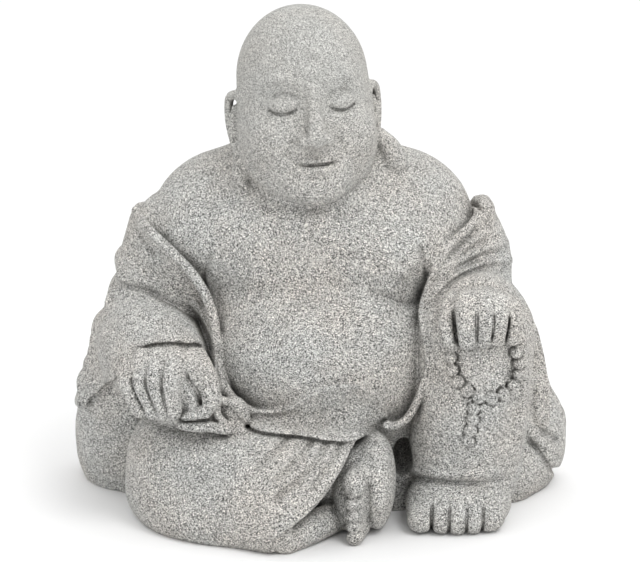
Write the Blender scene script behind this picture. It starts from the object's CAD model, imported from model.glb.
import math

import bpy
import numpy as np
from mathutils import Euler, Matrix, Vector


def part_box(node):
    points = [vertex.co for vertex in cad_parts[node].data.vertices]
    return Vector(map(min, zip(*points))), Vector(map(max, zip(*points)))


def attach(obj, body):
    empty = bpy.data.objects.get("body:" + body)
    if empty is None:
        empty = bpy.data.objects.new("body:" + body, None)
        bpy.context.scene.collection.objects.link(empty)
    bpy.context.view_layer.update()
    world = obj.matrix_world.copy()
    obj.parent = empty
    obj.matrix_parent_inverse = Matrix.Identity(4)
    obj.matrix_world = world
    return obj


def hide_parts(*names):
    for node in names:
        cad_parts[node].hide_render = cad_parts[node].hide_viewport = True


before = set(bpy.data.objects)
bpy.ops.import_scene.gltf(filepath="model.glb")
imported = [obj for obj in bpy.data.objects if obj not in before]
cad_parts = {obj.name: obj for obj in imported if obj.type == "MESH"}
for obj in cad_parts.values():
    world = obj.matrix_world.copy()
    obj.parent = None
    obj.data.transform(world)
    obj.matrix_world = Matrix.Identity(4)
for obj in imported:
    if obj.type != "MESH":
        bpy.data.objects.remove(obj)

CAD_LOW, CAD_HIGH = (tuple(v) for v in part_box("statue"))
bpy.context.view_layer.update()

# The figure is drawn in millimetres, with the same named values as the solid that it stands for.
DRAWN_HEIGHT = 402.6  # the drawing is then scaled to the solid's height
CLOTH = 4.5  # how far the robe stands off the body
RIM = 4  # radius of the robe's rolled edge
SLEEVE_STEP = 4  # how far a cuff stands off the arm in it
FOLD = 4  # height of a large fold
DRAPE = 4.5  # how far the cloth in the lap stands off the belly and leg
BEAD = 5.2  # radius of a bead
BEAD_SEAT, SEAT_FORWARD = 1.6, 2.6  # how much wider than a bead its seat is, and how far before it
HEAD_PLACE = (-12, -16, 330)  # middle of the head
HEAD_TURN = (-6, -3, 8)  # nod, lean and turn of the head
COLLAR_DIP = 206  # height of the robe's edge at the middle of the back
COLLAR_RISE = 30  # how much higher it is over the arms
COLLAR_REACH = 145  # how far out it is highest

CELL = 1.6  # spacing of the grid that the form is read on
MOST_TRIANGLES = 190_000

# The camera, with its distance and the height that it looks at in the drawing's millimetres
PHOTO_WIDTH = 640
FOCAL_PIXELS = 2735
SENSOR_WIDTH = 36
ELEVATION = 15
CAMERA_DISTANCE = 2200
VIEW_CENTRE = 178


# Forms: a box and a function that gives the distance to a surface, negative inside


class Places:
    """Points to read a form at, with the box that holds them."""

    def __init__(self, x, y, z):
        self.x, self.y, self.z = x, y, z
        self.low = (float(x.min()), float(y.min()), float(z.min()))
        self.high = (float(x.max()), float(y.max()), float(z.max()))
        self.middle = tuple((a + b) / 2 for a, b in zip(self.low, self.high))
        self.reach = math.dist(self.low, self.high) / 2


class Form:
    def __init__(self, low, high, at):
        self.low, self.high, self.at = tuple(low), tuple(high), at


def box_gap(p, form):
    total = 0.0
    for a, b, c, d in zip(p.low, p.high, form.low, form.high):
        away = max(c - b, a - d, 0.0)
        total += away * away
    return math.sqrt(total)


def soft_min(a, b, k):
    near = np.maximum(k - np.abs(a - b), 0) / k
    return np.minimum(a, b) - near * near * (k / 4)


def smoothed(points, steps=4):
    pts = [tuple(float(v) for v in p) for p in points]
    if len(pts) < 3:
        return np.array(pts)
    before = [2 * v - w for v, w in zip(pts[0], pts[1])]
    after = [2 * v - w for v, w in zip(pts[-1], pts[-2])]
    everything = np.array([before, *pts, after])
    curve = []
    for i in range(1, len(pts)):
        a, b, c, d = everything[i - 1:i + 3]
        for s in range(steps):
            t = s / steps
            bow = (2 * a - 5 * b + 4 * c - d) * t * t
            twist = (3 * b - a - 3 * c + d) * t * t * t
            curve.append(b + 0.5 * ((c - a) * t + bow + twist))
    curve.append(everything[-2])
    return np.array(curve)


def ball(centre, radii):
    cx, cy, cz = centre
    rx, ry, rz = radii

    def at(p):
        x, y, z = p.x - cx, p.y - cy, p.z - cz
        u, v, w = x / rx, y / ry, z / rz
        share = np.sqrt(u * u + v * v + w * w)
        slope = np.sqrt((u / rx) ** 2 + (v / ry) ** 2 + (w / rz) ** 2)
        distance = share * (share - 1) / np.maximum(slope, 1e-9)
        dx, dy, dz = (np.maximum(np.abs(e) - r, 0) for e, r in ((x, rx), (y, ry), (z, rz)))
        return np.maximum(distance, np.where(distance > 0, np.sqrt(dx * dx + dy * dy + dz * dz), distance))

    return Form((cx - rx, cy - ry, cz - rz), (cx + rx, cy + ry, cz + rz), at)


def near_pieces(chain, step, length, middle, reach, radius=0.0, change=0.0):
    """Which pieces of a chain can be nearest to some point in a small ball."""
    t = np.clip(((middle - chain) * step).sum(1) / length, 0, 1)
    away = np.sqrt(((middle - chain - t[:, None] * step) ** 2).sum(1)) - radius - t * change
    doubt = 2.4 * reach + 0.5  # twice the ball's radius, and a little more
    return np.nonzero(away <= away.min() + doubt)[0]


def limb(places):
    chain = smoothed(places)
    start, step = chain[:-1, :3], np.diff(chain[:, :3], axis=0)
    radius, change = chain[:-1, 3], np.diff(chain[:, 3])
    length = (step * step).sum(1) + 1e-9
    low = (chain[:, :3] - chain[:, 3:]).min(0)
    high = (chain[:, :3] + chain[:, 3:]).max(0)

    def at(p):
        best = None
        for i in near_pieces(start, step, length, np.array(p.middle), p.reach, radius, change):
            (ax, ay, az), (dx, dy, dz) = start[i], step[i]
            px, py, pz = p.x - ax, p.y - ay, p.z - az
            t = np.clip((px * dx + py * dy + pz * dz) / length[i], 0, 1)
            px -= t * dx
            py -= t * dy
            pz -= t * dz
            away = np.sqrt(px * px + py * py + pz * pz) - radius[i] - t * change[i]
            best = away if best is None else np.minimum(best, away)
        return best

    return Form(low, high, at)


def blend(k, *forms):
    low = np.min([f.low for f in forms], axis=0) - k / 4
    high = np.max([f.high for f in forms], axis=0) + k / 4

    def at(p):
        distance = forms[0].at(p)
        for form in forms[1:]:
            if box_gap(p, form) < distance.max() + k:
                distance = soft_min(distance, form.at(p), k)
        return distance

    return Form(low, high, at)


def inside(k, a, b):
    return Form(a.low, a.high, lambda p: -soft_min(-a.at(p), -b.at(p), k))


def outside(k, a, b):
    def at(p):
        distance = a.at(p)
        if box_gap(p, b) > k - distance.min():
            return distance
        return -soft_min(-distance, b.at(p), k)

    return Form(a.low, a.high, at)


def grown(by, form):
    more = max(by, 0)
    return Form([v - more for v in form.low], [v + more for v in form.high], lambda p: form.at(p) - by)


def space(at):
    return Form((-1e4,) * 3, (1e4,) * 3, at)


def flat_distance(chain, u, v, middle, reach):
    """Squared distance in a plane to a chain of points, and how far along it the nearest place is."""
    start, step = chain[:-1], np.diff(chain, axis=0)
    length = (step * step).sum(1) + 1e-9
    best = np.full(u.shape, 1e9)
    along = np.zeros(u.shape)
    for i in near_pieces(start, step, length, np.array(middle), reach):
        pu, pv = u - start[i, 0], v - start[i, 1]
        t = np.clip((pu * step[i, 0] + pv * step[i, 1]) / length[i], 0, 1)
        away = (pu - t * step[i, 0]) ** 2 + (pv - t * step[i, 1]) ** 2
        closer = away < best
        best = np.where(closer, away, best)
        along = np.where(closer, (i + t) / len(start), along)
    return best, along


def outline(points):
    chain = np.array([*points, points[0]], dtype=float)

    def at(x, z, middle, reach):
        away = np.sqrt(flat_distance(chain, x, z, middle, reach)[0])
        odd = np.zeros(x.shape, dtype=bool)
        low, high = middle[1] - reach, middle[1] + reach
        for (ax, az), (bx, bz) in zip(chain[:-1], chain[1:]):
            if max(az, bz) < low or min(az, bz) > high or az == bz:
                continue
            odd ^= ((az > z) != (bz > z)) & (x < (bx - ax) * (z - az) / (bz - az) + ax)
        return np.where(odd, -away, away)

    return at


def placed(form, place, turn, mirror=1):
    matrix = Euler([math.radians(v) for v in turn], "XYZ").to_matrix()
    m = np.array(matrix)
    corners = []
    for i in range(8):
        corner = [form.high[k] if i >> k & 1 else form.low[k] for k in range(3)]
        corner[0] *= mirror
        corners.append(m @ corner + place)

    def at(p):
        x, y, z = p.x - place[0], p.y - place[1], p.z - place[2]
        u = x * m[0, 0] + y * m[1, 0] + z * m[2, 0]
        v = x * m[0, 1] + y * m[1, 1] + z * m[2, 1]
        w = x * m[0, 2] + y * m[1, 2] + z * m[2, 2]
        return form.at(Places(mirror * u, v, w))

    return Form(np.min(corners, axis=0), np.max(corners, axis=0), at)


AXES = {"space": (0, 1, 2), "front": (0, 2), "side": (1, 2), "view": (0, 3)}
LEFT_OUT = {"front": 1, "side": 0, "view": 1}
LINE_REACH, LINE_REACH_SQUARED = 2.2, 4.84  # a line acts as far as this many times its width
VIEW_FALL, VIEW_RISE = math.sin(math.radians(ELEVATION)), math.cos(math.radians(ELEVATION))


def seen_places(x, y, z):
    """The three coordinates, and the height seen from the front and a little above."""
    return x, y, z, VIEW_FALL * y + VIEW_RISE * (z - VIEW_CENTRE)


def line(seen, points, width, height, low=-1e4, high=1e4, ends=0.15):
    """Raises a surface along a line, or cuts it where height is negative.

    Lines of the kinds front, side and view are flat, and act between low and high of the axis that they
    leave out. ends is the share of the height that a line keeps at its two ends.
    """
    axes = AXES[seen]
    chain = smoothed(points)
    least, most = chain.min(0) - LINE_REACH * width, chain.max(0) + LINE_REACH * width
    start, step = chain[:-1], np.diff(chain, axis=0)
    length = (step * step).sum(1) + 1e-9

    def at(p):
        lowest, highest, centre = (seen_places(*v) for v in (p.low, p.high, p.middle))
        for k, a in enumerate(axes):
            if highest[a] < least[k] or lowest[a] > most[k]:
                return None
        if seen != "space":
            a = LEFT_OUT[seen]
            if p.high[a] < low or p.low[a] > high:
                return None
        everything = seen_places(p.x, p.y, p.z)
        values = [everything[a] for a in axes]
        middle = np.array([centre[a] for a in axes])
        best = np.full(p.x.shape, 1e9)
        along = np.zeros(p.x.shape)
        for i in near_pieces(start, step, length, middle, p.reach):
            gaps = [v - start[i, k] for k, v in enumerate(values)]
            t = np.clip(sum(g * step[i, k] for k, g in enumerate(gaps)) / length[i], 0, 1)
            away = sum((g - t * step[i, k]) ** 2 for k, g in enumerate(gaps))
            closer = away < best
            best = np.where(closer, away, best)
            along = np.where(closer, (i + t) / len(start), along)
        q = best / (width * width)
        taper = np.minimum(1, 5 * np.minimum(along, 1 - along) + ends)
        fade = np.clip(4 - 4 * q / LINE_REACH_SQUARED, 0, 1)
        value = height * taper * np.exp(-np.minimum(q, 9)) * fade
        if seen != "space":
            across = (p.x, p.y, p.z)[LEFT_OUT[seen]]
            value = np.where((across >= low) & (across <= high), value, 0)
        return value

    return at


def carved(form, lines):
    def at(p):
        distance = form.at(p)
        for one in lines:
            change = one(p)
            if change is not None:
                distance = distance - change
        return distance

    return Form([v - FOLD for v in form.low], [v + FOLD for v in form.high], at)


# The bare body

belly = ball((2, -14, 126), (103, 85, 76))
chest = ball((-5, 0, 222), (97, 62, 56))
breasts = blend(4, ball((56, -28, 209), (45, 37, 29)), ball((-54, -20, 210), (46, 34, 30)))
back = ball((-4, 40, 188), (108, 74, 92))
neck = limb([(-8, 12, 245, 48), (-10, 0, 300, 44)])
shoulders = blend(
    20,
    ball((-88, 14, 224), (48, 46, 49)),
    ball((74, 14, 228), (48, 46, 47)),
    limb([(-72, 20, 240, 41), (-10, 22, 262, 43), (58, 20, 241, 41)]),
)
upper_body = blend(26, blend(24, back, chest, shoulders, neck), breasts)
bare_arms = [
    limb([(-92, 8, 222, 43), (-104, 0, 192, 34), (-114, -4, 156, 26)]),
    limb([(78, 8, 228, 42), (98, 2, 200, 33), (112, 0, 164, 26)]),
]
nipple = ball((65, -63.5, 202), (4, 4, 4))
under_breast = [(36, -8), (42, -10), (59, -16.4), (68, -18.8), (75.5, -18), (79, -12), (80, -2)]
under_chest = [(-72, -4), (-60, -9.5), (-45, -12.5), (-23, -9.5), (0, -6), (24, -6.5), (40, -9)]
bare_body = carved(blend(5, blend(30, upper_body, belly), *bare_arms, nipple), [
    line("view", under_breast, 4.2, -3.2, low=-200, high=0),
    line("view", under_chest, 8, -3, low=-200, high=0),
    line("view", [(-8.5, -68.3), (2.8, -71.7), (12.4, -66)], 2.8, -2.2, low=-200, high=0),
    line("view", [(-84.5, 24), (-88, 14), (-92, 4), (-92, -10)], 2.6, -3.6, low=-200, high=-20),
    line("view", [(77, 30), (79.5, 20), (82, 10), (84, 1)], 2.2, -4, low=-200, high=-20),
])

# The robe

left_edge = [
    (-147, 5, 235), (-136.5, -19, 226), (-121.5, -33, 215), (-99, -48, 195), (-86, -56, 172),
    (-81, -64, 148), (-80, -70, 126), (-70, -80, 106), (-55, -88, 96),
]
right_edge = [
    (132, 12, 243), (121, -20, 231), (104, -38, 219), (92, -52, 205), (85, -58, 188), (80, -62, 170),
    (82, -78, 156), (85, -86, 134), (79, -84, 111), (70, -80, 90), (60, -82, 83), (52, -86, 84),
]
lap_edge = [(-37, 84), (-21, 80), (0, 76), (27, 76), (44, 80)]


def collar_height(x):
    return COLLAR_DIP + COLLAR_RISE * (x / COLLAR_REACH) ** 2


def front_of(edge):
    return [(x, z) for x, _, z in edge]


gape = outline(smoothed([
    (-190, 262), *front_of(left_edge), *lap_edge, *reversed(front_of(right_edge)),
    (190, 270), (190, 430), (-190, 430), (-190, 262),
], 3))


def opening_at(p):
    shown = gape(p.x, p.z, (p.middle[0], p.middle[2]), p.reach)
    return -soft_min(-shown, -soft_min(p.y - 12, collar_height(p.x) - p.z, 6), 2)


opening = space(opening_at)

left_sleeve = blend(
    12,
    limb([
        (-112, 16, 212, 40), (-123, 18, 178, 38), (-129, 16, 134, 36),
        (-139, 18, 96, 46), (-144, 30, 52, 57), (-145, 44, 28, 58),
    ]),
    limb([(-136, 4, 130, 42), (-130, -32, 126, 41), (-120, -62, 120, 37), (-112, -82, 115, 31)]),
)
right_sleeve = blend(
    12,
    limb([
        (100, 16, 220, 39), (112, 18, 190, 40), (118, 16, 162, 33), (138, 12, 132, 33),
        (147, 12, 98, 33), (154, 18, 60, 36), (159, 26, 33, 41), (146, -6, 20, 30),
    ]),
    limb([(128, 10, 138, 36), (126, -30, 158, 33), (122, -56, 166, 29)]),
)
cuff_line = [
    (-230, 60), (-206, 66), (-184, 85), (-167, 106), (-154, 129), (-146, 141), (-130, 150),
    (-112, 152), (-96, 150), (-88, 139), (-82, 125), (-74, 100), (-40, 90),
]
above_cuff = outline([*smoothed(cuff_line), (-40, 280), (-230, 280)])
left_cuff = space(lambda p: np.minimum(
    above_cuff(p.x, p.z, (p.middle[0], p.middle[2]), p.reach),
    np.maximum(10 - p.y, 68 - p.z)))

sleeve_rings = [
    line("side", [(56, z + 9), (30, z + 4), (6, z - 2), (-14, z - 16)], 4, 3.6, high=-104)
    for z in (193, 171, 144, 129, 116, 103, 87)
]
lowest_fold = [(153, 16.7), (136, 16.2), (121.7, 12.2), (107.7, 5.7), (93.4, -7.1), (88, -13.4)]
left_sweeps = [
    line("view", [(-164, -2), (-149.4, -5), (-127.7, -11.6), (-110, -20.6), (-98.3, -29.7),
                  (-90.5, -43), (-86, -56), (-83.5, -72)], 2.4, -3, low=-160, high=30, ends=0.4),
    line("view", [(-134, -10), (-122, -14), (-110, -20.6), (-98.3, -29.7),
                  (-90.5, -43), (-86, -56), (-83.5, -72)], 2.8, -5.5, low=-160, high=30, ends=0),
    line("view", [(-158, 5), (-149, 2.5), (-127, -4), (-107, -13), (-93, -24), (-86.5, -36)],
         4, 2.6, low=-160, high=30),
    line("view", [(-164, -22), (-148, -24), (-125, -30), (-106, -40), (-97, -52)], 6, 2, low=-160, high=20),
    line("view", [(-150.4, 47.2), (-136, 28), (-122, 12.5), (-99.5, -7.6), (-88.8, -35.5)],
         2, -3, low=-160, high=10),
    line("view", [(-152, 24), (-136, 10), (-118, 0)], 5, -2.5, low=-160, high=10),
    line("space", [(-170, 0, 120), (-152, -36, 118), (-136, -62, 122)], 7, 3),
]
right_sweeps = [
    line("view", [(128, 43.5), (115, 34.7), (99.5, 19), (85.5, 2.5)], 2.6, -2.6, low=-160, high=30),
    line("view", [(139, 42), (122, 31), (105.4, 16.5), (91, 0)], 3, 2.4, low=-160, high=30),
    line("view", [(134, 33), (127, 29.7), (117, 23.7), (107.8, 17.6)], 2.2, -1.6, low=-160, high=30),
    line("view", [(150, 31), (141, 28), (127, 23.8), (110.3, 14.5), (96, 2)],
         3, 2.8, low=-160, high=40, ends=0.8),
    line("view", [(146, 23), (130, 20), (112, 11)], 2.2, -1.6, low=-160, high=40),
    line("view", lowest_fold, 3, 2.6, low=-160, high=40, ends=0.9),
    line("side", [(-34, 150), (-28, 120), (-26, 84), (-34, 44)], 5, -5, low=120),
    line("side", [(-10, 164), (-2, 116), (-8, 76), (-16, 46)], 5, 4, low=120),
    line("side", [(8, 118), (14, 92), (12, 68), (0, 52)], 6, -6, low=120),
    line("side", [(34, 190), (40, 130), (36, 76), (24, 44)], 6, 4, low=100),
    line("view", [(152, -30), (162, -40), (169.5, -52), (172.5, -68), (172.5, -77)],
         2.4, -3.4, low=-60, high=60),
    line("view", [(174.6, -83), (172, -97), (172.5, -111), (177.5, -119), (186, -126), (196, -131)],
         2.4, -4.4, low=-80, high=60, ends=0.5),
    line("view", [(168.5, -74), (166, -96), (166.5, -114), (173, -126), (184, -134), (196, -139)],
         3, 2.6, low=-80, high=60, ends=0.5),
    line("view", [(168, -128), (175, -136), (181, -144), (187, -152), (196, -157)],
         2.6, -5, low=-80, high=60, ends=0.8),
]


def pleat(i):
    top = collar_height(30 * i) - 12
    path = [(30 * i, top), (34 * i + 3, 150), (37 * i, 90), (40 * i, 30), (41 * i, -10)]
    return line("front", path, 7, (1.2 if i % 2 else 0.8) * FOLD, low=40)


pleats = [pleat(i) for i in range(-4, 5)]
collar_roll = [(x, collar_height(x) - 5) for x in (-140, -100, -50, 0, 50, 90, 126)]
skirt = ball((-1, 38, 44), (181, 92, 180))
cover = grown(CLOTH, blend(20, upper_body, belly, skirt))
sleeves = blend(14, cover, inside(2, grown(SLEEVE_STEP, left_sleeve), left_cuff), grown(3, right_sleeve))
folded = carved(sleeves, [*sleeve_rings, *left_sweeps, *right_sweeps, *pleats])
under_sleeve = carved(left_sleeve, left_sweeps)
mantle = carved(outside(2, folded, opening), [line("front", collar_roll, 5, FOLD, low=14)])
rims = [limb([(*place, rim) for place in edge]) for edge, rim in ((left_edge, RIM), (right_edge, 0.8 * RIM))]
shoulder_fold = ball((131, 2, 236), (9, 14, 10))
band = limb([(99, -50, 197, 4.5), (94, -55, 186, 5.5), (88, -59, 174, 4.5)])
robe = blend(5, blend(3, mantle, *rims), shoulder_fold, band)
robe = carved(robe, [line("view", [(118, 67), (124, 61.5), (129, 54)], 1.8, -4, low=-160, high=40)])

# Legs

folded_leg = blend(
    26,
    limb([(-60, 20, 48, 46), (-104, -48, 48, 44)]),
    limb([(-104, -62, 44, 44), (-66, -86, 42, 44), (-26, -104, 42, 42), (14, -104, 44, 38)]),
    limb([
        (-133, -54, 14, 18), (-118, -92, 14, 18), (-92, -113, 14, 18),
        (-60, -124, 15, 18), (-34, -139, 17, 18), (-20, -140, 22, 16),
    ]),
)
creases = [
    [(-22, -119), (-41.5, -138.4), (-52, -149)],
    [(-4, -121), (-20, -140.4), (-39, -157)],
    [(7, -121), (-5.4, -142.6), (-26.8, -161.3), (-36.5, -169.5)],
    [(17, -122), (7.7, -140.4), (-0.8, -150.9), (-9, -161)],
]
creased_leg = carved(folded_leg, [line("view", path, 2.5, -4.2, high=-60) for path in creases])
hem = [
    (30, 96), (24, 86), (20, 74), (15, 64), (2, 47), (-9, 35), (-23, 25.5), (-32, 17), (-37, 8), (-38, -20),
]
hem_outline = outline([*smoothed(hem), (-200, -20), (-200, 200), (60, 200), (60, 96)])
hem_side = space(lambda p: np.minimum(
    hem_outline(p.x, p.z, (p.middle[0], p.middle[2]), p.reach), -60 - p.y))
hem_roll = limb([
    (27, -108, 84, 3), (20, -118, 73, 3), (14, -127, 63, 3), (2, -137, 47, 3), (-9, -141, 35, 3),
    (-22, -146, 25, 3), (-31, -149, 16, 3), (-36, -150, 6, 3),
])
open_trouser = blend(3, inside(1.5, creased_leg, hem_side), hem_roll)
ankle = limb([(-60, -66, 44, 34), (-20, -76, 38, 28), (30, -70, 42, 26)])
lip = limb([(-27, -140, 10, 12.5), (-8, -122, 12, 12.5), (12, -98, 13, 12)])
folded_trouser = blend(2.5, open_trouser, ankle, lip)
leg_hem = [
    (66, -152), (72, -155.5), (86.6, -157.5), (102, -158.5), (117.5, -158.5), (133.5, -158), (150, -153),
]
outer_seam = [(155, -38), (158.5, -50), (161, -74), (162, -94), (159, -117), (153, -144)]
raised_leg = carved(
    blend(
        14,
        limb([(70, 20, 80, 50), (122, -50, 142, 44)]),
        limb([(122, -60, 146, 44), (119, -60, 92, 45), (116, -50, 50, 46), (116, -44, 34, 44)]),
    ), [
        line("view", leg_hem, 2.4, -2.8, high=0),
        line("view", [(x, w + 6) for x, w in leg_hem], 3, 2, high=0),
        line("view", outer_seam, 4.5, 3.6, high=0),
        line("view", [(147, -60), (150, -80), (150, -104), (145, -130)], 5, -2.5, high=0),
    ])

# Feet

side_foot = blend(
    8,
    ball((39, -78, 41), (19, 40, 39)),
    ball((45, -93, 40), (13.5, 28, 38)),
    ball((25.5, -94, 34), (16, 28, 35)),
)
side_toes = blend(
    5,
    limb([(36, -102, 53, 11), (27, -122, 50, 10.5)]),
    *[limb([(35, -104, z + 1, r), (26, -125, z, r)]) for z, r in ((34.5, 7), (24, 6.4), (15, 5.6))],
    limb([(33, -110, 8, 6), (27, -127, 6.5, 6.5)]),
)
side_foot = carved(blend(2, side_foot, side_toes), [
    line("front", [(36, 56), (37, 44), (38, 26), (37, 10)], 2.2, -1.8, high=-60),
    *[line("front", [(14, z - 1), (24, z), (32, z + 1)], 1.3, -1.5, high=-100, ends=0.4)
      for z in (38.5, 28.6, 19, 10.6)],
])
toe_grooves = (87.5, 101, 114.5, 127.2)
flat_toes = [
    limb([(x, -84, 15, r), (x, y, 11.5, r)])
    for x, y, r in (
        (79, -101, 10.6), (94.2, -103, 9.8), (107.8, -103.5, 9.6), (121, -102, 9.4), (134.5, -97, 10.4))
]
nails = [
    ball((x, y, 18.5), (4.4, 2.6, 3.2))
    for x, y in ((79, -107), (94.2, -108.5), (107.8, -109), (121, -107), (134.5, -102.5))
]
flat_foot = carved(blend(6, ball((110, -70, 16), (42, 42, 26)), blend(3, *flat_toes)), [
    line("front", [(x, -6), (x, 12), (x + 0.5, 26)], 1.3, -3.6, high=-84) for x in toe_grooves
])
flat_foot = blend(0.6, flat_foot, *nails)

# Hands


def hand(palm, fingers, thumb, between=1.6):
    return blend(5, palm, blend(between, *map(limb, fingers), limb(thumb)))


gathering_hand = hand(ball((-119, -94, 126), (32, 24, 23)), [
    [(-147, -88, 138, 8), (-149, -105, 126, 7.4), (-139, -112, 105, 6.4)],
    [(-137.5, -94, 142, 8), (-139, -113, 128, 7.2), (-129, -117, 105, 6.2)],
    [(-126, -98, 144, 8), (-128, -117, 129, 7.2), (-121, -119, 106, 6.2)],
    [(-112.5, -98, 144, 8.8), (-115, -118, 128, 8), (-113, -119, 106, 6.8)],
], [(-97, -92, 141, 9), (-87, -104, 127, 8.4), (-85, -110, 112, 7.4), (-89, -112, 104, 6)])
wrist = blend(
    4,
    limb([(-142, -84, 132, 10), (-120, -86, 137, 12), (-98, -84, 134, 10)]),
    limb([(-138, -81, 142, 5), (-118, -83, 145.5, 5.5), (-100, -81, 143, 5)]),
)
gather_web = limb([(-146, -101, 118, 5), (-128, -110, 116, 6), (-113, -112, 114, 6)])
gathering_hand = carved(blend(2.5, gathering_hand, wrist, gather_web, ball((-99, -106, 112), (9, 8, 13))), [
    line("front", [(-143.5, 140), (-144.2, 126), (-134, 104)], 1.2, -1.8, high=-98, ends=0.5),
    line("front", [(-131.8, 143), (-133.6, 128), (-125, 104)], 1.2, -1.8, high=-98, ends=0.5),
    line("front", [(-119.5, 144), (-121.6, 128), (-117.2, 104)], 1.2, -1.8, high=-98, ends=0.5),
    line("front", [(-103, 134), (-101, 127), (-96, 119), (-92, 109)], 1.8, -5, high=-90, ends=0.5),
])
resting_hand = hand(ball((124, -84, 178), (31, 25, 19)), [
    [(112, -98, 187, 8.8), (112, -110, 176, 8.8), (113.6, -109, 160, 7.8)],
    [(126.5, -99, 188, 7.6), (126.8, -111, 177, 7.4), (126.3, -109, 160.5, 6.8)],
    [(138.5, -96, 186, 7), (138.8, -108, 175, 6.8), (137.4, -107, 161, 6.2)],
    [(149.6, -90, 182, 6.6), (150, -102, 172, 6.6), (148.6, -102, 160, 6)],
], [(101, -90, 180, 7.8), (97.5, -99, 171, 7.2), (98.4, -103, 160.5, 6.6)], 4)
webs = [limb([(112, -104, 178, 6.6), (148, -98, 174, 5)]), limb([(112, -103, 164, 6), (148, -97, 163, 5)])]
resting_hand = carved(blend(3, resting_hand, *webs), [
    line("front", [(102.5, 182), (103.2, 172), (104.8, 158)], 1.3, -3, high=-86, ends=0.5),
    line("front", [(119.8, 182), (119.9, 172), (120.1, 157)], 1.1, -2, high=-90, ends=0.3),
    line("front", [(133, 182), (132.6, 172), (131, 157)], 1.1, -2, high=-90, ends=0.3),
    line("front", [(145.4, 180), (144.2, 170), (142, 157)], 1.1, -2, high=-88, ends=0.3),
])
gather = blend(
    1.5,
    limb([(-104, -114, 100.5, 3.6), (-92, -114, 103, 3.8), (-81, -112, 110.7, 3.8), (-78.6, -108, 115, 3.2)]),
    limb([
        (-79, -106, 112, 3.2), (-67, -100, 106, 3.2), (-60, -97, 98, 3.4), (-57, -95, 90, 3.4),
        (-64, -98, 87.5, 3.4), (-73, -102, 90.5, 3.4), (-79, -105, 98, 3.2), (-80, -107, 108, 3.2),
    ]),
    ball((-68, -92, 98), (12, 8, 12)),
    limb([
        (-106, -110, 92, 4), (-95, -111, 91, 4.4), (-86, -110, 91, 4.4),
        (-74, -106, 87, 4), (-60, -100, 85, 3.4),
    ]),
)

# Beads

loop_places = [
    (102, -102, 154), (101, -100, 138), (108, -102.5, 123), (121, -105, 114),
    (134, -103, 112), (149, -95.5, 118), (155, -91.5, 131), (152, -96, 147),
]
tail_places = [(119, -104, 104), (118, -104, 92), (115, -102.5, 77)]


def strung(places, count):
    curve = smoothed(places, 24)
    lengths = np.concatenate([[0], np.cumsum(np.sqrt((np.diff(curve, axis=0) ** 2).sum(1)))])
    marks = np.linspace(0, lengths[-1], count)
    return [tuple(np.interp(m, lengths, curve[:, k]) for k in range(3)) for m in marks]


bead_places = [*strung(loop_places, 12), *strung(tail_places, 4)]
beads = blend(0.4, *[ball(place, (BEAD,) * 3) for place in bead_places])
bead_seats = blend(0.4, *[
    ball((x, y - SEAT_FORWARD, z), (BEAD + BEAD_SEAT,) * 3) for x, y, z in bead_places
])
shin = outside(0.5, raised_leg, bead_seats)

# Head

skull = blend(26, ball((0, 8, 17), (51.5, 59, 57)), ball((0, -5, -34), (54, 49, 50)))
sockets = blend(2, *[ball((22 * side, -62, 2), (14, 12, 8)) for side in (-1, 1)])
eyelids = blend(2, *[ball((22 * side, -42.5, 0), (13, 9.5, 8)) for side in (-1, 1)])
nose = blend(
    4,
    limb([(0, -52, 10, 3.6), (0, -57, -7, 5), (0, -62, -21, 7), (0, -62, -26, 7)]),
    *[ball((8.5 * side, -57, -27), (5.6, 7, 5.4)) for side in (-1, 1)],
)
cheeks = [ball((29 * side, -34, -25), (19, 16, 18)) for side in (-1, 1)]
lips = blend(
    1,
    limb([
        (-17, -47.5, -44, 1.8), (-8, -52, -42.5, 3.2), (0, -52.5, -43.5, 2.8),
        (8, -52, -42.5, 3.2), (17, -47.5, -44, 1.8),
    ]),
    limb([(-14, -47, -47.5, 2.2), (0, -51, -50, 4.2), (14, -47, -47.5, 2.2)]),
)
chin = ball((0, -38, -64), (22, 14, 14))
face = blend(12, blend(14, outside(9, skull, sockets), chin), *cheeks)
face = blend(4, blend(2.5, blend(6, face, nose), lips), eyelids)
nostrils = blend(1, *[ball((5 * side, -62, -32), (2.4, 4, 2.6)) for side in (-1, 1)])
face_lines = [
    line("front", [(0, -34), (0, -40)], 2, -1.8, high=0, ends=1),
    line("front", [(-19, -43.5), (-8, -46), (0, -46), (8, -46), (19, -43.5)], 1.3, -2.6, high=0, ends=0.4),
    line("front", [(-10, -56.5), (0, -57.5), (10, -56.5)], 3, -2.2, high=0),
]
for side in (-1, 1):
    face_lines += [
        line("front", [(side * x, z) for x, z in ((11, -1.5), (16, -4.6), (23, -5.8), (30, -4), (34, 0))],
             1.4, -2.4, high=0, ends=0.4),
        line("front", [(side * x, z) for x, z in ((11, 4), (17, 8.4), (24, 9.4), (32, 6))],
             1.8, -1.8, high=0, ends=0.3),
        line("front", [(side * x, z) for x, z in ((8, 14), (17, 20), (28, 21), (39, 15))], 3.8, 2.8, high=0),
        line("front", [(side * x, z) for x, z in ((14, -25), (20, -33), (24, -43))], 3, -2.2, high=0),
    ]
face = carved(outside(1, face, nostrils), face_lines)
ear = blend(
    2,
    ball((-5, 0, -3), (9, 11, 24)),
    limb([
        (1, -8, 2, 3), (3, -9, 14, 3.2), (4, -2, 22, 3.6), (5, 8, 19, 3.6),
        (5, 11, 4, 3.4), (4, 9, -12, 3.4), (3, 3, -24, 4),
    ]),
    limb([(4, 3, 12, 2.2), (5, 5, 2, 2.2), (4, 4, -9, 2.2)]),
    limb([(3, -1, -18, 5), (5, -2, -34, 7), (7, -4, -50, 8.5)]),
)
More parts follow.
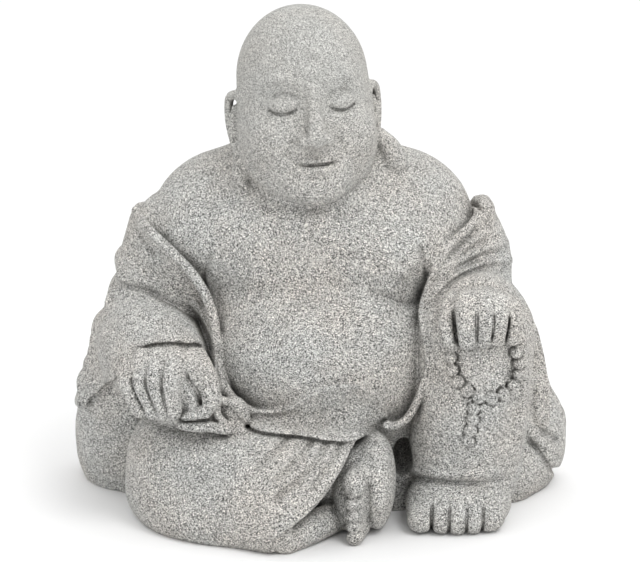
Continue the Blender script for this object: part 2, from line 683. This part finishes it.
ears = [placed(ear, (50 * side, 6, -15), (0, 0, -25 * side), side) for side in (-1, 1)]
flaring_lobe = limb([(57, 2, -34, 7), (64, 1, -44, 9.5), (68, 0, -54, 10.5)])
head = placed(blend(3, face, *ears, flaring_lobe), HEAD_PLACE, HEAD_TURN)

# The whole figure

dressed = blend(2.5, blend(4, bare_body, head), robe)
legs = blend(5, under_sleeve, blend(2.5, folded_trouser, blend(0.4, shin, beads)))
figure = blend(2, dressed, legs, side_foot, flat_foot, gather, gathering_hand, resting_hand)
lap_rim = [
    (-57, -101), (-39, -101.7), (-23, -98.6), (-5.4, -88.5), (10, -82.3),
    (23.3, -81.5), (36.5, -84.6), (46.6, -92.4), (52.8, -107.9),
]
lap_hem = [(44, -117), (25.6, -123.5), (5.4, -123), (-15.5, -119.6), (-41, -117.3), (-57, -113.4)]
lap_outline = outline([*smoothed(lap_rim), *smoothed(lap_hem)])


def lap_at(p):
    centre = (p.middle[0], seen_places(*p.middle)[3])
    return np.maximum(lap_outline(p.x, seen_places(p.x, p.y, p.z)[3], centre, p.reach), p.y + 50)


lap_cloth = inside(2, grown(DRAPE, blend(18, blend(30, upper_body, belly), folded_leg)), space(lap_at))
leg_gap = ball((66, -44, 47), (8.5, 40, 17))
figure = outside(2, blend(1.5, figure, lap_cloth), leg_gap)
cuff_groove = [
    (-196, -100), (-182, -95), (-168, -82), (-154.5, -65), (-146, -56), (-133, -51.5),
    (-116, -50.6), (-104, -51.5), (-95, -51.5), (-90, -56.5), (-86.6, -63), (-82.8, -76),
]
carved_last = [
    line("view", lap_rim, 2.8, 2.6, high=-60, ends=0.5),
    line("view", [(-10, -108), (6, -101), (22, -96), (36, -99), (44, -109)], 7, -3, high=-60),
    line("view", [(-58.5, -112), (-56, -113)], 1.8, -2, high=-60, ends=1),
    line("view", cuff_groove, 1.8, -0.7, low=-160, high=40, ends=0.6),
    line("view", [(x - 0.8, w + 6.4) for x, w in cuff_groove], 2.8, 1.1, low=-160, high=40, ends=0.6),
    line("view", [(152, 10.5), (136, 9.6), (123.7, 7.5), (110.6, 3), (100.7, -3.2), (91, -14.5), (88.5, -29),
                  (87.5, -46.6), (85.6, -62)], 2.2, -1, low=-160, high=40),
    line("view", [(96, -24), (97.5, -17), (106, -9), (114.6, -5), (123.2, -4), (139, -7),
                  (149, -13), (155, -22)], 2, -1.5, low=-160, high=-50, ends=0),
]
figure = carved(figure, carved_last)
statue_form = Form(figure.low, figure.high, lambda p: np.maximum(figure.at(p), -p.z))


# From the form to a mesh


def grid_places(low, spacing, steps):
    return Places(*(low[a] + spacing * steps[:, a] for a in range(3)))


def steps_in(counts):
    return np.stack(np.meshgrid(*[np.arange(n) for n in counts], indexing="ij"), -1).reshape(-1, 3)


def read_on_grid(form, cell):
    """Reads a form on a grid, in full only near the surface: groups of blocks, then blocks, then cells."""
    block, group, batch, slack = 4, 4, 4, 1.5 * math.sqrt(3) / 2
    low = np.array(form.low) - 2 * cell
    low[2] = -1.5 * cell
    side = block * group
    counts = np.ceil((np.array(form.high) + 2 * cell - low) / cell / side).astype(int)
    values = np.empty(counts * side, dtype=np.float32)
    blocks, cells = steps_in([group] * 3), steps_in([block] * 3)
    middle = (side - 1) / 2
    for corner in np.ndindex(*(-(-counts // batch))):
        first = np.array(corner) * batch
        groups = first + steps_in(np.minimum(counts - first, batch))
        far = form.at(grid_places(low + middle * cell, side * cell, groups))
        for place, value in zip(groups * side, far):
            values[tuple(slice(v, v + side) for v in place)] = value
            if abs(value) > slack * side * cell:
                continue
            corners = place + block * blocks
            near = form.at(grid_places(low + (block - 1) / 2 * cell, cell, corners))
            for (i, j, k), inner in zip(corners, near):
                values[i:i + block, j:j + block, k:k + block] = inner
            close = corners[np.abs(near) < slack * block * cell]
            if len(close):
                steps = (close[:, None] + cells).reshape(-1, 3)
                values[tuple(steps.T)] = form.at(grid_places(low, cell, steps))
    values[values == 0] = 1e-6
    return values, low


def skin_of(values, low, cell):
    """A closed skin of four-sided faces, one point for each cell that the surface crosses."""
    shape = np.array(values.shape)
    solid = values < 0
    strides = np.array([shape[1] * shape[2], shape[2], 1])
    flat = values.ravel()
    sums, cells, quads = [], [], []
    for axis in range(3):
        near = [slice(None)] * 3
        near[axis] = slice(0, -1)
        far = [slice(None)] * 3
        far[axis] = slice(1, None)
        crossing = np.stack(np.nonzero(solid[tuple(near)] != solid[tuple(far)]), -1)
        others = [a for a in range(3) if a != axis]
        crossing = crossing[(crossing[:, others] > 0).all(1)]
        index = crossing @ strides
        a, b = flat[index], flat[index + strides[axis]]
        point = crossing.astype(float)
        point[:, axis] += a / (a - b)
        u, v = strides[(axis + 1) % 3], strides[(axis + 2) % 3]
        ring = np.stack([index, index - u, index - u - v, index - v], -1)
        flip = a > 0
        ring[flip] = ring[flip][:, ::-1]
        quads.append(ring)
        cells.append(ring.ravel())
        sums.append(np.repeat(point, 4, axis=0))
    cells = np.concatenate(cells)
    ids, place = np.unique(cells, return_inverse=True)
    sums = np.concatenate(sums)
    number = np.bincount(place)
    points = np.stack([np.bincount(place, sums[:, k]) / number for k in range(3)], -1)
    quads = np.searchsorted(ids, np.concatenate(quads))
    return points * cell + low, quads


def largest_body(points, faces):
    """Leaves out the small bodies that are not joined to the largest one."""
    label = np.arange(len(points))
    while True:
        least = label[faces].min(1)
        lower = label.copy()
        for k in range(faces.shape[1]):
            np.minimum.at(lower, faces[:, k], least)
        lower = lower[lower]
        if (lower == label).all():
            break
        label = lower
    kept = label == np.bincount(label).argmax()
    renumbered = np.cumsum(kept) - 1
    return points[kept], renumbered[faces[kept[faces[:, 0]]]]


def read_at(form, points, size=30.0):
    """Reads a form at many scattered points, small box by small box."""
    key = np.floor(points / size).astype(np.int64)
    key -= key.min(0)
    row = key.max() + 1
    code = (key[:, 0] * row + key[:, 1]) * row + key[:, 2]
    order = np.argsort(code, kind="stable")
    breaks = np.nonzero(np.diff(code[order]))[0] + 1
    values = np.empty(len(points))
    for chosen in np.split(order, breaks):
        values[chosen] = form.at(Places(*points[chosen].T.copy()))
    return values


def normals_of(points, faces):
    a, b, c = (points[faces[:, k]] for k in (0, 1, 2))
    if faces.shape[1] == 4:
        across = np.cross(c - a, points[faces[:, 3]] - b)
    else:
        across = np.cross(b - a, c - a)
    total = np.stack([
        np.bincount(faces.ravel(), np.repeat(across[:, k], faces.shape[1]), len(points)) for k in range(3)
    ], -1)
    return total / np.maximum(np.linalg.norm(total, axis=1, keepdims=True), 1e-12)


def settled(points, faces, form, most, rounds):
    """Pulls points onto the surface along their normals, except those on the ground."""
    step, ground, least_slope = 0.2, 0.4, 0.35
    for _ in range(rounds):
        normals = normals_of(points, faces)
        free = points[:, 2] > ground
        both = np.concatenate([points[free], points[free] + step * normals[free]])
        here, ahead = np.split(read_at(form, both), 2)
        slope = np.maximum((ahead - here) / step, least_slope)
        go = np.clip(here / slope, -most, most)
        points = points.copy()
        points[free] -= go[:, None] * normals[free]
        points[:, 2] = np.maximum(points[:, 2], 0)
    return points


values, low = read_on_grid(statue_form, CELL)
points, quads = largest_body(*skin_of(values, low, CELL))
points[np.abs(points[:, 2]) < 0.3 * CELL, 2] = 0
points = settled(points, quads, statue_form, 0.6 * CELL, 1)


def mesh_object(name, points, faces):
    mesh = bpy.data.meshes.new(name)
    mesh.from_pydata(points.tolist(), [], faces.tolist())
    made = bpy.data.objects.new(name, mesh)
    bpy.context.scene.collection.objects.link(made)
    return made


statue = mesh_object("buddha_statue", points, quads)
triangles = 2 * len(quads)
if triangles > MOST_TRIANGLES:
    reduce = statue.modifiers.new("reduce", "DECIMATE")
    reduce.ratio = MOST_TRIANGLES / triangles
    depsgraph = bpy.context.evaluated_depsgraph_get()
    reduced = bpy.data.meshes.new_from_object(statue.evaluated_get(depsgraph))
    statue.modifiers.clear()
    statue.data = reduced

mesh = statue.data
points = np.empty(3 * len(mesh.vertices))
mesh.vertices.foreach_get("co", points)
points = points.reshape(-1, 3)
drawn_low, drawn_high = points.min(0), points.max(0)
shift = np.array([*(-(drawn_low + drawn_high)[:2] / 2), 0])
scale = (CAD_HIGH[2] - CAD_LOW[2]) / DRAWN_HEIGHT


def in_metres(place):
    return (np.array(place) + shift) * scale


mesh.vertices.foreach_set("co", in_metres(points).ravel())
mesh.polygons.foreach_set("use_smooth", [True] * len(mesh.polygons))
mesh.update()


CAVITY_REACHES = ((2.5, 0.4), (7, 0.25), (20, 0.18), (48, 0.17))


def cavity_of(form, points, normals):
    """How enclosed each point lies: 0 in the open, near 1 deep in a crease."""
    total = np.zeros(len(points))
    for reach, weight in CAVITY_REACHES:
        free = np.clip(read_at(form, points + reach * normals) / reach, 0, 1)
        total += weight * (1 - free)
    return total


vertex_normals = np.empty(3 * len(mesh.vertices))
mesh.vertices.foreach_get("normal", vertex_normals)
cavity = cavity_of(statue_form, points, vertex_normals.reshape(-1, 3))
stored = mesh.attributes.new("cavity", "FLOAT", "POINT")
stored.data.foreach_set("value", cavity.astype(np.float32))


# Concrete: grey grains with black and white pebbles, clouded, with cement in the hollows


class Nodes:
    """Makes and joins the nodes of one material."""

    def __init__(self, material):
        material.use_nodes = True
        self.tree = material.node_tree
        self.tree.nodes.clear()

    def add(self, kind, inputs=(), **settings):
        node = self.tree.nodes.new(kind)
        for name, value in settings.items():
            setattr(node, name, value)
        for name, value in dict(inputs).items():
            socket = node.inputs[name]
            if isinstance(value, bpy.types.NodeSocket):
                self.tree.links.new(value, socket)
            else:
                socket.default_value = value
        return node

    def ramp(self, factor, stops):
        node = self.add("ShaderNodeValToRGB", {"Fac": factor})
        ramp = node.color_ramp
        while len(ramp.elements) < len(stops):
            ramp.elements.new(0.5)
        for element, (place, value) in zip(ramp.elements, stops):
            element.position = place
            element.color = (*value, 1) if isinstance(value, tuple) else (value, value, value, 1)
        return node.outputs["Color"]

    def mix(self, factor, a, b, blend_type="MIX"):
        node = self.add("ShaderNodeMix", data_type="RGBA", blend_type=blend_type)
        for socket, value in ((node.inputs[0], factor), (node.inputs[6], a), (node.inputs[7], b)):
            if isinstance(value, bpy.types.NodeSocket):
                self.tree.links.new(value, socket)
            else:
                socket.default_value = value if isinstance(value, (int, float)) else (*value, 1)
        return node.outputs[2]

    def maths(self, operation, a, b=0.0):
        return self.add("ShaderNodeMath", {0: a, 1: b}, operation=operation).outputs[0]

    def noise(self, place, scale, detail, roughness=0.6):
        inputs = {"Vector": place, "Scale": scale, "Detail": detail, "Roughness": roughness}
        return self.add("ShaderNodeTexNoise", inputs).outputs["Fac"]


# Colours are linear, and sizes and heights are in metres.
GRAIN = 0.00054
GRAIN_TONES = [(0.0, 0.02), (0.14, 0.08), (0.3, 0.3), (0.55, 0.47), (0.82, 0.7), (1.0, 1.0)]
PEBBLE = 0.00115
PEBBLE_RADIUS = 0.42  # in cells of the pebble pattern
DARK_ABOVE, DARK_PEBBLE, DARK_COVER = 0.78, (0.015, 0.015, 0.015), 0.96
PALE_BELOW, PALE_PEBBLE, PALE_COVER = 0.13, (0.98, 0.98, 0.96), 0.9
WARM, COOL = (0.985, 0.945, 0.885), (0.955, 0.955, 0.92)
CLOUD_SCALE, CLOUD_STOPS = 14.0, [(0.38, 0.0), (0.64, 1.0)]
PATCH_SCALE, PATCH_STOPS = 38.0, [(0.25, 0.95), (0.75, 1.03)]
RUBBED, RUBBED_FROM, RUBBED_FULL, RUBBED_MOST = (0.42, 0.418, 0.395), 0.24, 0.34, 0.4
CEMENT, CEMENT_STOPS = (0.335, 0.33, 0.3), [(0.45, 0.0), (0.9, 0.5)]
SHADE_STOPS = [(0.28, 1.0), (0.48, 0.85), (0.7, 0.6), (0.92, 0.34)]
ROUGH_SCALE, GRAIN_RISE, ROUGH_RISE = 900.0, 0.5, 0.7
BUMP_STRENGTH, BUMP_DEPTH = 0.5, 0.0005
ROUGHNESS_STOPS = [(0.0, 0.82), (1.0, 0.96)]


def concrete_material():
    made = bpy.data.materials.new("concrete")
    n = Nodes(made)
    place = n.add("ShaderNodeTexCoord").outputs["Object"]
    grains = n.add("ShaderNodeTexVoronoi", {"Vector": place, "Scale": 1 / GRAIN})
    pebbles = n.add("ShaderNodeTexVoronoi", {"Vector": place, "Scale": 1 / PEBBLE})
    random_grain = n.add("ShaderNodeSeparateColor", {"Color": grains.outputs["Color"]}).outputs[0]
    random_pebble = n.add("ShaderNodeSeparateColor", {"Color": pebbles.outputs["Color"]}).outputs[1]

    # Grains, then black and white pebbles among them
    tones = n.ramp(random_grain, GRAIN_TONES)
    pebble = n.maths("LESS_THAN", pebbles.outputs["Distance"], PEBBLE_RADIUS)
    dark = n.maths("MULTIPLY", n.maths("GREATER_THAN", random_pebble, DARK_ABOVE), pebble)
    pale = n.maths("MULTIPLY", n.maths("LESS_THAN", random_pebble, PALE_BELOW), pebble)
    tones = n.mix(n.maths("MULTIPLY", dark, DARK_COVER), tones, DARK_PEBBLE)
    tones = n.mix(n.maths("MULTIPLY", pale, PALE_COVER), tones, PALE_PEBBLE)

    # Warm and cool clouds, and lighter and darker patches
    tint = n.mix(n.ramp(n.noise(place, CLOUD_SCALE, 4.0), CLOUD_STOPS), WARM, COOL)
    tones = n.mix(1.0, tones, tint, "MULTIPLY")
    tones = n.mix(1.0, tones, n.ramp(n.noise(place, PATCH_SCALE, 3.0), PATCH_STOPS), "MULTIPLY")

    # The head is rubbed smoother than the body, and hollows hold more cement and less light
    height_here = n.add("ShaderNodeSeparateXYZ", {"Vector": place}).outputs[2]
    rubbed = n.add("ShaderNodeMapRange", {
        "Value": height_here, "From Min": RUBBED_FROM, "From Max": RUBBED_FULL,
        "To Min": 0.0, "To Max": RUBBED_MOST}).outputs[0]
    tones = n.mix(rubbed, tones, RUBBED)
    hollow = n.add("ShaderNodeAttribute", attribute_name="cavity").outputs["Fac"]
    tones = n.mix(n.ramp(hollow, CEMENT_STOPS), tones, CEMENT)
    tones = n.mix(1.0, tones, n.ramp(hollow, SHADE_STOPS), "MULTIPLY")

    rough = n.noise(place, ROUGH_SCALE, 2.0, 0.5)
    grain_height = n.maths("MULTIPLY", random_grain, GRAIN_RISE)
    height = n.maths("ADD", grain_height, n.maths("MULTIPLY", rough, ROUGH_RISE))
    bump = n.add("ShaderNodeBump", {
        "Height": height, "Strength": BUMP_STRENGTH, "Distance": BUMP_DEPTH}).outputs["Normal"]
    roughness = n.ramp(random_grain, ROUGHNESS_STOPS)
    shader = n.add("ShaderNodeBsdfPrincipled", {
        "Base Color": tones, "Roughness": roughness, "Normal": bump, "Specular IOR Level": 0.3})
    n.add("ShaderNodeOutputMaterial", {"Surface": shader.outputs[0]})
    return made


mesh.materials.clear()
mesh.materials.append(concrete_material())

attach(statue, "root")
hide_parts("statue")

# Floor, light and camera

FLOOR_REACH = 30
FLOOR_PAINT = (0.9, 0.9, 0.9, 1)
SKY_LOW, SKY_HIGH = 0.54, 1.42
KEY_PLACE, KEY_TARGET, KEY_SIZE, KEY_POWER = (0.8, -1.1, 1.9), (0, 0, 0.15), 0.9, 14

floor_mesh = bpy.data.meshes.new("floor")
floor_corners = [(x * FLOOR_REACH, y * FLOOR_REACH, 0) for x, y in ((-1, -1), (1, -1), (1, 1), (-1, 1))]
floor_mesh.from_pydata(floor_corners, [], [(0, 1, 2, 3)])
floor = bpy.data.objects.new("floor", floor_mesh)
bpy.context.scene.collection.objects.link(floor)
floor_material = bpy.data.materials.new("floor_paint")
floor_material.use_nodes = True
floor_shader = floor_material.node_tree.nodes["Principled BSDF"]
floor_shader.inputs["Base Color"].default_value = FLOOR_PAINT
floor_shader.inputs["Roughness"].default_value = 1.0
floor_mesh.materials.append(floor_material)

world = bpy.data.worlds.new("studio")
sky = Nodes(world)
direction = sky.add("ShaderNodeTexCoord").outputs["Generated"]
upward = sky.add("ShaderNodeSeparateXYZ", {"Vector": direction}).outputs[2]
glow = sky.add("ShaderNodeMapRange", {
    "Value": upward, "From Min": 0.0, "From Max": 1.0, "To Min": SKY_LOW, "To Max": SKY_HIGH}).outputs[0]
background = sky.add("ShaderNodeBackground", {"Color": (1, 1, 1, 1), "Strength": glow})
sky.add("ShaderNodeOutputWorld", {"Surface": background.outputs[0]})
bpy.context.scene.world = world


def area_light(name, place, target, size, power):
    data = bpy.data.lights.new(name, "AREA")
    data.shape = "DISK"
    data.size = size
    data.energy = power
    made = bpy.data.objects.new(name, data)
    made.location = place
    made.rotation_euler = (Vector(target) - Vector(place)).to_track_quat("-Z", "Y").to_euler()
    bpy.context.scene.collection.objects.link(made)


area_light("key", KEY_PLACE, KEY_TARGET, KEY_SIZE, KEY_POWER)

target = Vector(in_metres((0, 0, VIEW_CENTRE)))
elevation = math.radians(ELEVATION)
distance = CAMERA_DISTANCE * scale
camera_data = bpy.data.cameras.new("camera")
camera_data.sensor_width = SENSOR_WIDTH
camera_data.lens = SENSOR_WIDTH * FOCAL_PIXELS / PHOTO_WIDTH
camera_data.clip_end = 200
camera = bpy.data.objects.new("camera", camera_data)
camera.location = target + distance * Vector((0, -math.cos(elevation), math.sin(elevation)))
camera.rotation_euler = (target - camera.location).to_track_quat("-Z", "Y").to_euler()
bpy.context.scene.collection.objects.link(camera)
bpy.context.scene.camera = camera
bpy.context.scene.view_settings.view_transform = "Standard"
